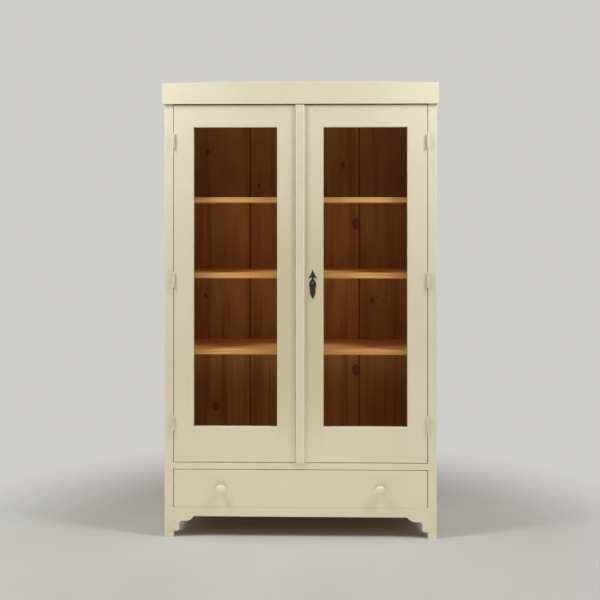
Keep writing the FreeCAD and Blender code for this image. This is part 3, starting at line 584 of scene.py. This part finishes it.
def set_out(template, places):
    """Copies of a small shape, one for each matrix. The template is used up."""
    pattern = bpy.data.meshes.new("pattern")
    template.to_mesh(pattern)
    template.free()
    shape = bmesh.new()
    for place in places:
        before = set(shape.verts)
        shape.from_mesh(pattern)
        fresh = [vert for vert in shape.verts if vert not in before]
        bmesh.ops.transform(shape, matrix=place, verts=fresh)
    bpy.data.meshes.remove(pattern)
    return shape


def nail_head(radius):
    """Hammered nail head, domed above the origin and sunk as far below it."""
    rise = radius * 0.35
    profile = [(0, -rise), (radius * 0.9, -rise), (radius, 0), (radius * 0.75, rise * 0.8), (0, rise)]
    return turned(profile, steps=10)


def screw_head(radius):
    """Countersunk slotted screw head, slightly domed, its rim level with the origin."""
    rise = radius * 0.16
    low = -rise * 2
    profile = [(0, low), (radius * 0.8, low), (radius, 0), (radius * 0.86, rise * 0.8), (0, rise)]
    shape = turned(profile, steps=16)
    slot = radius * 0.13
    for side in SIDES.values():
        bmesh.ops.bisect_plane(
            shape,
            geom=shape.verts[:] + shape.edges[:] + shape.faces[:],
            plane_co=(slot * side, 0, 0),
            plane_no=(1, 0, 0),
        )
    floor = [f for f in shape.faces if abs(f.calc_center_median().x) < slot and f.normal.z > 0.3]
    sunk = bmesh.ops.extrude_face_region(shape, geom=floor)
    bmesh.ops.delete(shape, geom=floor, context="FACES")
    lowered = [part for part in sunk["geom"] if isinstance(part, bmesh.types.BMVert)]
    bmesh.ops.translate(shape, verts=lowered, vec=(0, 0, -rise * 1.6))
    return shape


def facing(place, direction, turn=0.0):
    """Matrix that sets a head on a face: its top looks the given way, its slot turned by an angle."""
    look = Vector(direction).to_track_quat("Z", "Y").to_matrix().to_4x4()
    return Matrix.Translation(place) @ look @ Matrix.Rotation(turn, 4, "Z")


def spaced(low, high, count):
    """Even places between two ends."""
    return [low + (high - low) * number / (count - 1) for number in range(count)]


class CABINET_OT_paint(bpy.types.Operator):
    """Paint the carcass, door frames and drawer front, each board along its grain"""

    bl_idname = "cabinet.paint"
    bl_label = "Painted boards"

    def execute(self, context):
        sizes = context.scene.cabinet_sizes
        colours = context.scene.cabinet_colours
        upright = paint("paint_upright", "ZX", colours)
        level = paint("paint_level", "XZ", colours)
        deep = paint("paint_deep", "YZ", colours)
        skin = Vector((SKIN, SKIN, SKIN))
        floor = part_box("floor_board")
        low = Vector((floor[0].x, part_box("door_left_beads")[1].y, floor[0].z))
        high = Vector((floor[1].x, floor[1].y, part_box("top_board")[0].z))
        room = (low - skin, high + skin)
        dress(lined("paint_lined_upright", "ZY", colours, room), *POSTS, *SIDE_BOARDS)
        dress(lined("paint_lined_level", "XY", colours, room), "top_board")
        dress(upright, *STILES, "foot_bracket_left", "foot_bracket_right")
        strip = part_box("meeting_strip")
        # A lighter line on the cover strip's front face at its right edge is a painted highlight.
        rubbed_and_lit = Vector((strip[1].x, strip[0].y, 0))
        # A darker line on the right inner stile beside the cover strip is painted shade, in the colour of
        # bare wood.
        painted_shade = Vector((strip[1].x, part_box("door_right_stile_inner")[0].y, 0))
        highlight_line = (rubbed_and_lit, sizes.highlight_width, colours.undercoat_highlight)
        painted_shade_line = (painted_shade, sizes.painted_shade_width, colours.bare_wood)
        # The inner stiles darken at middle height: partly paint yellowed by handling, partly painted
        # shade.
        hands = (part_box("escutcheon")[1].z, colours.paint_handled_and_shaded)
        highlight_line_paint = paint("paint_highlight_line", "ZX", colours, line=highlight_line)
        handled_and_shaded = paint("paint_handled_and_shaded", "ZX", colours, hands=hands)
        painted_shade_paint = paint("paint_shade_line", "ZX", colours, line=painted_shade_line, hands=hands)
        dress(highlight_line_paint, "meeting_strip")
        dress(handled_and_shaded, "door_left_stile_inner")
        dress(painted_shade_paint, "door_right_stile_inner")
        dress(level, *DOOR_RAILS, "mid_rail", "apron", "cornice_front", "door_stop", "drawer_front")
        dress(level, "door_left_beads", "door_right_beads")
        dress(deep, "cornice_return_left", "cornice_return_right")
        return {"FINISHED"}


class CABINET_OT_inside(bpy.types.Operator):
    """Finish the shelves, back boards and the drawer's inside"""

    bl_idname = "cabinet.inside"
    bl_label = "Pine inside"

    def execute(self, context):
        colours = context.scene.cabinet_colours
        seams = [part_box(name)[0].x for name in BACK_BOARDS[1:]]
        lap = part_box(BACK_BOARDS[0])[1].x - seams[0]
        oiled = (colours.oiled_early, colours.oiled_late, colours.knot)
        raw = (colours.raw_early, colours.raw_late, colours.knot)
        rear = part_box(BACK_BOARDS[0])[1].y - SKIN
        dress(pine("oiled_pine_level", "XY", *oiled, knots=0.2), *SHELVES, "floor_board")
        dress(pine("oiled_pine_deep", "YZ", *oiled, knots=0.1), *CLEATS)
        dress(backed("stained_pine", colours, seams, lap, rear), *BACK_BOARDS)
        dress(pine("raw_pine_flat", "XY", *raw, knots=0.15, gloss=0.6), "drawer_floor")
        dress(pine("raw_pine_level", "XZ", *raw, knots=0.15, gloss=0.6), "drawer_back", "rear_rail")
        dress(
            pine("raw_pine_deep", "YZ", *raw, knots=0.15, gloss=0.6),
            "drawer_side_left",
            "drawer_side_right",
            "drawer_runner_left",
            "drawer_runner_right",
            "drawer_stops",
        )
        return {"FINISHED"}


class CABINET_OT_panes(bpy.types.Operator):
    """Glaze both doors"""

    bl_idname = "cabinet.panes"
    bl_label = "Glass panes"

    def execute(self, context):
        dress(pane_glass("pane_glass"), "door_left_glass", "door_right_glass")
        return {"FINISHED"}


class CABINET_OT_knobs(bpy.types.Operator):
    """Turn the two knobs of the drawer"""

    bl_idname = "cabinet.knobs"
    bl_label = "Drawer knobs"

    def execute(self, context):
        sizes = context.scene.cabinet_sizes
        coat = paint("paint_turned", "ZX", context.scene.cabinet_colours, edges=False, gloss=0.26)
        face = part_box("drawer_front")[0].y
        for side in SIDES:
            node = f"drawer_knob_{side}"
            low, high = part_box(node)
            middle = (low + high) / 2
            reach = face - low.y
            head = (high.x - low.x) / 2
            tenon = face - high.y
            profile = [(0, tenon), (sizes.knob_tenon, tenon), (sizes.knob_tenon, 0)]
            rounds = ((sizes.knob_foot, KNOB_FOOT), (sizes.knob_neck, KNOB_NECK), (head, KNOB_HEAD))
            for radius, shares in rounds:
                profile += [(radius * out, reach * along) for out, along in shares]
            shape = turned([*profile, (0, reach)], steps=48)
            seat = facing((middle.x, face, middle.z), (0, -1, 0))
            bmesh.ops.transform(shape, matrix=seat, verts=shape.verts)
            add_piece(f"turned_{node}", smooth(shape), "drawer", "paint", coat, node)
        return {"FINISHED"}


class CABINET_OT_key_plate(bpy.types.Operator):
    """File the key plate's edges and pin it to the right door"""

    bl_idname = "cabinet.key_plate"
    bl_label = "Key plate"

    def execute(self, context):
        sizes = context.scene.cabinet_sizes
        iron = blackened_iron("blackened_iron", context.scene.cabinet_colours.iron)
        low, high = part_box("escutcheon")
        shape = bmesh.new()
        shape.from_mesh(frame["nodes"]["escutcheon"].data)
        bmesh.ops.remove_doubles(shape, verts=shape.verts, dist=TOUCHING)
        bmesh.ops.dissolve_limit(
            shape, angle_limit=math.radians(1), verts=shape.verts[:], edges=shape.edges[:]
        )
        front = [edge for edge in shape.edges if all(vert.co.y < low.y + SKIN for vert in edge.verts)]
        rim = [edge for edge in front if edge.calc_face_angle(0) > 1]
        bmesh.ops.bevel(
            shape,
            geom=rim,
            offset=sizes.plate_edge,
            affect="EDGES",
            segments=2,
            profile=0.5,
            material=-1,
        )
        add_piece("filed_key_plate", shape, "door_right", "iron", iron, "escutcheon")
        middle = (low.x + high.x) / 2
        heights = [low.z + (high.z - low.z) * share for share in PIN_HEIGHTS]
        places = [facing((middle, low.y, z), (0, -1, 0)) for z in heights]
        pins = set_out(nail_head(sizes.pin_head), places)
        add_piece("key_plate_pins", smooth(pins), "door_right", "iron", iron)
        return {"FINISHED"}


class CABINET_OT_hinges(bpy.types.Operator):
    """Cap the hinge knuckles and screw their leaves down"""

    bl_idname = "cabinet.hinges"
    bl_label = "Hinges"

    def execute(self, context):
        sizes = context.scene.cabinet_sizes
        worn = painted_iron("painted_iron", context.scene.cabinet_colours)
        dress(worn, *HINGE_HALVES)
        joints = {joint["name"]: joint for joint in frame["joints"]}
        for side, way in SIDES.items():
            axis = Vector(joints[f"door_{side}_hinge"]["pos_m"])
            for kind, body in (("post", "carcass"), ("door", f"door_{side}")):
                node = f"hinges_{side}_{kind}"
                up = 1 if kind == "door" else -1
                low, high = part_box(node)
                ends = [end.z for end in hinge_ends(node, up)]
                places = [facing((axis.x, axis.y, end), (0, 0, up)) for end in ends]
                cap = turned(cap_profile(axis.y - low.y, sizes.hinge_cap), steps=20)
                caps = smooth(set_out(cap, places))
                add_piece(f"hinge_caps_{side}_{kind}", caps, body, "hinge_paint", worn)
                face = axis.x - way * up * sizes.leaf_play
                across = (axis.y + 2 * high.y) / 3
                screws = [
                    facing((face, across, end - up * drop), (way * up, 0, 0), 9 * end + 70 * drop)
                    for end in ends
                    for drop in (sizes.leaf_margin, sizes.leaf_margin * 3)
                ]
                heads = set_out(screw_head(sizes.leaf_screw), screws)
                add_piece(f"leaf_screws_{side}_{kind}", heads, body, "hinge_paint", worn)
        return {"FINISHED"}


def cap_profile(radius, rise):
    """Domed cap with a small button, over the end of a knuckle."""
    return [
        (0, -rise * 0.2),
        (radius * 0.98, -rise * 0.2),
        (radius, 0),
        (radius * 0.92, rise * 0.3),
        (radius * 0.55, rise * 0.42),
        (radius * 0.5, rise * 0.6),
        (radius * 0.3, rise * 0.92),
        (0, rise),
    ]


def hinge_ends(node, up):
    """One point at the outer end of each of a node's three knuckles."""
    corners = [vert.co for vert in frame["nodes"][node].data.vertices]
    points = sorted(corners, key=lambda point: point.z * up)
    ends = [points[-1]]
    for point in reversed(points):
        if abs(point.z - ends[-1].z) > HINGE_ROOM:
            ends.append(point)
    return ends


class CABINET_OT_fittings(bpy.types.Operator):
    """Finish the lock and bolts and drive the screws and nails"""

    bl_idname = "cabinet.fittings"
    bl_label = "Lock, bolts, screws and nails"

    def execute(self, context):
        sizes = context.scene.cabinet_sizes
        steel = old_steel("old_steel", context.scene.cabinet_colours.steel)
        dress(steel, "lock_case", "lock_bolt", "door_bolt_plates", "door_bolt_upper", "door_bolt_lower")
        self.nail_back(sizes, steel)
        self.screw_cleats(sizes, steel)
        self.screw_lock(sizes, steel)
        self.pin_beads(sizes, steel)
        return {"FINISHED"}

    def nail_back(self, sizes, steel):
        """Nail the back boards to the rear rail, the top board, the shelves and the floor board."""
        rows = [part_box("rear_rail")[0].z + sizes.rail_nail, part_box("top_board")[0].z + sizes.top_nail]
        rows += [(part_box(name)[0].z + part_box(name)[1].z) / 2 for name in [*SHELVES, "floor_board"]]
        places = []
        for name in BACK_BOARDS:
            low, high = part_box(name)
            for x in (low.x + sizes.nail_margin, high.x - sizes.nail_margin):
                places += [facing((x, high.y, z), (0, 1, 0)) for z in rows]
        nails = smooth(set_out(nail_head(sizes.nail_head), places))
        add_piece("back_nails", nails, "carcass", "lock_steel", steel)

    def screw_cleats(self, sizes, steel):
        """Screw the cleats to the side boards, each slot at its own angle."""
        for side, way in SIDES.items():
            low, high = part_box(f"shelf_cleats_{side}")
            inner = low.x if way > 0 else high.x
            seats = [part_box(name)[0].z for name in [*SHELVES, "floor_board"]]
            places = []
            for number, seat in enumerate(seats):
                for y in spaced(low.y + sizes.cleat_margin, high.y - sizes.cleat_margin, 3):
                    turn = 0.7 * number + 9 * y
                    places.append(facing((inner, y, seat - sizes.cleat_drop), (-way, 0, 0), turn))
            screws = set_out(screw_head(sizes.screw_head), places)
            add_piece(f"cleat_screws_{side}", screws, "carcass", "lock_steel", steel)

    def screw_lock(self, sizes, steel):
        """Screw the lock to the right door and the bolt plates to the left door."""
        low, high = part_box("lock_case")
        margin = sizes.lock_margin
        columns = (low.x + margin, high.x - margin)
        rows = (low.z + margin, high.z - margin)
        places = [facing((x, high.y, z), (0, 1, 0), 5 * z + 30 * x) for x in columns for z in rows]
        screws = set_out(screw_head(sizes.screw_head), places)
        add_piece("lock_screws", screws, "door_right", "lock_steel", steel)
        low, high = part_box("door_bolt_plates")
        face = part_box("door_left_beads")[1].y + sizes.bolt_plate_thickness
        columns = (low.x + sizes.bolt_plate_inset, high.x - sizes.bolt_plate_inset)
        places = []
        for bottom in (low.z, high.z - sizes.bolt_plate):
            top = bottom + sizes.bolt_plate
            rows = (bottom + sizes.bolt_plate_margin, top - sizes.bolt_plate_margin)
            places += [facing((x, face, z), (0, 1, 0), 40 * x + 7 * z) for x in columns for z in rows]
        screws = set_out(screw_head(sizes.leaf_screw), places)
        add_piece("bolt_screws", screws, "door_left", "lock_steel", steel)

    def pin_beads(self, sizes, steel):
        """Drive brads into the glazing beads along all four sides of each pane."""
        inset = Vector((sizes.brad_inset, 0, sizes.brad_inset))
        for side in SIDES:
            low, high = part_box(f"door_{side}_beads")
            first, last = low + inset, high - inset
            places = []
            for z in spaced(low.z + sizes.brad_margin, high.z - sizes.brad_margin, 9):
                places += [facing((x, high.y, z), (0, 1, 0)) for x in (first.x, last.x)]
            for x in spaced(low.x + sizes.brad_margin, high.x - sizes.brad_margin, 4):
                places += [facing((x, high.y, z), (0, 1, 0)) for z in (first.z, last.z)]
            brads = set_out(nail_head(sizes.brad_head), places)
            add_piece(f"bead_brads_{side}", brads, f"door_{side}", "lock_steel", steel)


class CABINET_OT_stage(bpy.types.Operator):
    """Set the floor, the even light, the soft lamps and the camera"""

    bl_idname = "cabinet.stage"
    bl_label = "Studio"

    def execute(self, context):
        studio = context.scene.cabinet_studio
        context.scene.view_settings.view_transform = "Standard"
        floor = self.lay_floor(studio)
        self.light_field(context.scene, studio)
        for side, way in SIDES.items():
            upper = self.hang_lamp(f"upper_lamp_{side}", studio.upper, studio.cool, size=(0.5, 1.2))
            self.aim(upper, place=(way * 1.5, -0.9, 2.6), target=(way * 0.4, -0.2, 0.6))
            lower = self.hang_lamp(f"lower_lamp_{side}", studio.lower, studio.warm, size=(1.2, 0.7))
            self.aim(lower, place=(way * 2.4, -1.8, 1.0), target=(0, -0.2, 0.3))
        front = self.hang_lamp("front_lamp", studio.front, studio.warm, size=(1.8, 0.2))
        self.aim(front, place=(0, -0.9, 0.08), target=(0, -0.2, 0.9))
        rear = self.hang_lamp("rear_lamp", studio.rear, studio.cool, size=(2.0, 1.2))
        self.aim(rear, place=(0.8, 3.0, 1.6), target=(0, 0.2, 0.9))
        for lamp in (front, rear):
            self.spare(lamp, floor)
        self.stand_camera(context.scene)
        return {"FINISHED"}

    def lay_floor(self, studio):
        """Pale floor that keeps the cabinet's shadow and fades into the field round it."""
        finish = new_finish("studio_floor")
        place = finish.place()
        x, y = finish.parts(place)[:2]
        ahead = y + FADE_AHEAD
        seen = finish.node("ShaderNodeLightPath", output="Is Camera Ray")
        mirrored = seen.other("Is Glossy Ray")
        far = finish.ease((x * x + ahead * ahead) ** 0.5, FADE_START, FADE_END) * seen
        cloud = finish.noise(place, 1.3, 3)
        deeper = [share * 0.95 for share in studio.floor]
        tone = finish.mix(finish.ease(cloud, 0.35, 0.7), studio.floor, deeper)
        tone = finish.mix(seen, studio.bounce, tone)
        plain = finish.surface(Base_Color=tone, Roughness=0.55, Specular_IOR_Level=0)
        gone = finish.node("ShaderNodeBsdfTransparent")
        sockets = {0: finish.most(far, mirrored), 1: plain, 2: gone}
        material = finish.show(finish.node("ShaderNodeMixShader", sockets=sockets))
        shape = bmesh.new()
        bmesh.ops.create_circle(shape, cap_ends=True, segments=96, radius=10)
        mesh = bpy.data.meshes.new("studio_floor")
        shape.to_mesh(mesh)
        shape.free()
        mesh.materials.append(material)
        floor = bpy.data.objects.new("studio_floor", mesh)
        bpy.context.scene.collection.objects.link(floor)
        return floor

    def light_field(self, scene, studio):
        """Pale field for the camera and the panes, and even light that falls from above."""
        scene.world = bpy.data.worlds.new("studio_light")
        finish = Finish(scene.world)
        height = finish.parts(finish.place("Generated"))[2]
        above = finish.ease(height, 0.05, 0.7)
        camera = finish.node("ShaderNodeLightPath", output="Is Camera Ray")
        mirrored = finish.most(camera, camera.other("Is Glossy Ray"))
        seen = finish.most(mirrored, camera.other("Is Transmission Ray"))
        dark = finish.node("ShaderNodeBackground", sockets={"Strength": 0.0})
        bright = finish.node("ShaderNodeBackground", sockets={"Strength": studio.sky})
        even = finish.node("ShaderNodeMixShader", sockets={0: above, 1: dark, 2: bright})
        field = finish.node(
            "ShaderNodeBackground", sockets={"Color": (*studio.background, 1), "Strength": 1.0}
        )
        finish.show(finish.node("ShaderNodeMixShader", sockets={0: seen, 1: even, 2: field}))

    def hang_lamp(self, name, watts, tint, size):
        """Soft rectangular lamp that the camera doesn't see."""
        light = bpy.data.lights.new(name, "AREA")
        light.energy = watts
        light.color = tint
        light.shape = "RECTANGLE"
        light.size, light.size_y = size
        lamp = bpy.data.objects.new(name, light)
        lamp.visible_camera = False
        bpy.context.scene.collection.objects.link(lamp)
        return lamp

    def aim(self, lamp, place, target):
        """Move a lamp and turn it to its target, out of sight of the panes when it hangs low."""
        lamp.location = place
        lamp.rotation_euler = (Vector(target) - lamp.location).to_track_quat("-Z", "Y").to_euler()
        lamp.visible_glossy = place[2] > PANE_TOP

    def spare(self, lamp, thing):
        """Keep a lamp's light off one thing."""
        shaded = bpy.data.collections.new(f"{lamp.name}_spares")
        shaded.objects.link(thing)
        shaded.collection_objects[0].light_linking.link_state = "EXCLUDE"
        lamp.light_linking.receiver_collection = shaded

    def stand_camera(self, scene):
        """Camera at eye height before the cabinet, its frame shifted down to the middle of the front."""
        data = bpy.data.cameras.new("camera")
        data.sensor_fit = "HORIZONTAL"
        data.sensor_width = 36
        data.lens = 57.47
        data.shift_x = -0.0021
        data.shift_y = -0.1416
        camera = bpy.data.objects.new("camera", data)
        camera.location = (0.087, -4.0515, 1.3048)
        camera.rotation_euler = (math.radians(90), 0, math.radians(1.232))
        scene.collection.objects.link(camera)
        scene.camera = camera


STEPS = (
    CABINET_OT_paint,
    CABINET_OT_inside,
    CABINET_OT_panes,
    CABINET_OT_knobs,
    CABINET_OT_key_plate,
    CABINET_OT_hinges,
    CABINET_OT_fittings,
    CABINET_OT_stage,
)


class CABINET_PT_making(bpy.types.Panel):
    """Steps and settings of the cabinet"""

    bl_label = "Display cabinet"
    bl_space_type = "VIEW_3D"
    bl_region_type = "UI"
    bl_category = "Cabinet"

    def draw(self, context):
        for step in STEPS:
            self.layout.operator(step.bl_idname)
        for settings in ("cabinet_sizes", "cabinet_colours", "cabinet_studio"):
            group = getattr(context.scene, settings)
            column = self.layout.column()
            for name in group.bl_rna.properties.keys():
                if name not in ("rna_type", "name"):
                    column.prop(group, name)


CLASSES = (CabinetSizes, CabinetColours, StudioSettings, *STEPS, CABINET_PT_making)


def register():
    """Add the settings, operators and panel to Blender."""
    for item in CLASSES:
        bpy.utils.register_class(item)
    bpy.types.Scene.cabinet_sizes = bpy.props.PointerProperty(type=CabinetSizes)
    bpy.types.Scene.cabinet_colours = bpy.props.PointerProperty(type=CabinetColours)
    bpy.types.Scene.cabinet_studio = bpy.props.PointerProperty(type=StudioSettings)


def unregister():
    """Take the settings, operators and panel out again."""
    del bpy.types.Scene.cabinet_studio
    del bpy.types.Scene.cabinet_colours
    del bpy.types.Scene.cabinet_sizes
    for item in reversed(CLASSES):
        bpy.utils.unregister_class(item)


def main():
    """Make the cabinet's looks in order."""
    register()
    bpy.ops.cabinet.paint()
    bpy.ops.cabinet.inside()
    bpy.ops.cabinet.panes()
    bpy.ops.cabinet.knobs()
    bpy.ops.cabinet.key_plate()
    bpy.ops.cabinet.hinges()
    bpy.ops.cabinet.fittings()
    bpy.ops.cabinet.stage()


if __name__ == "__main__":
    main()
